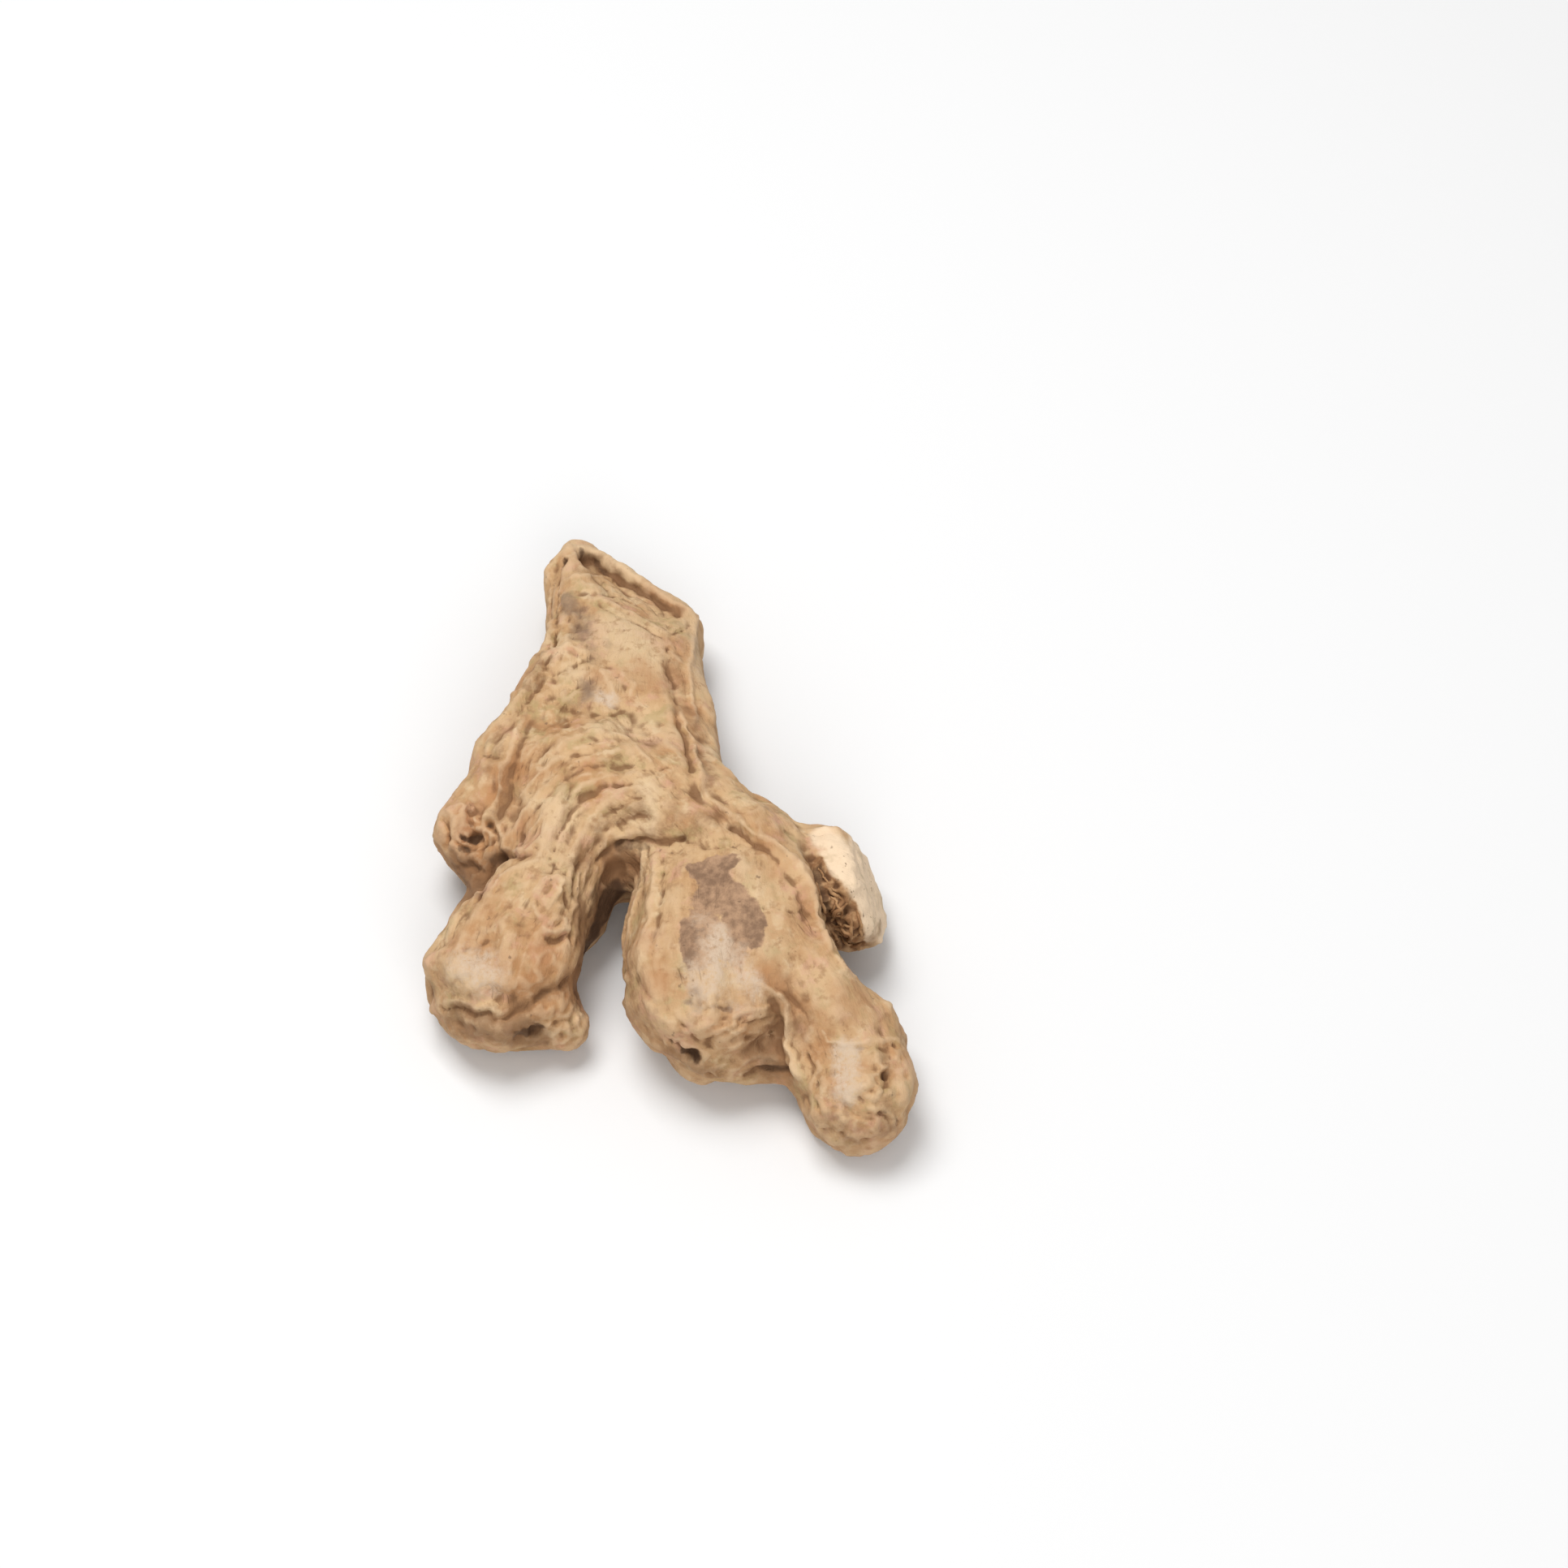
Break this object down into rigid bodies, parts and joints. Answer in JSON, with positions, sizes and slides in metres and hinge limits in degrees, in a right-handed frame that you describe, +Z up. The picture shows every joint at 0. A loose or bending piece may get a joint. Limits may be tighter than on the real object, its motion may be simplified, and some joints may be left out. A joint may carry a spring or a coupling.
{
  "type": "dried ginger root",
  "caption": "Whole dried ginger rhizome with its wrinkled tan skin on, lying flat: slanted hollow broken end, long finger, short finger, broken stub and buds.",
  "frame": {"origin": "middle of the bounding box in X and Y, on the surface the root lies on", "axes": "+Y along the rhizome towards its slanted broken end, +Z up from the surface, +X towards the broken stub's side"},
  "size_m": [0.074, 0.1108, 0.0245],
  "materials": {
    "ginger_skin": "matt, dry and wrinkled"
  },
  "bodies": {
    "root": {"ginger_root": "ginger_skin"}
  },
  "joints": []
}
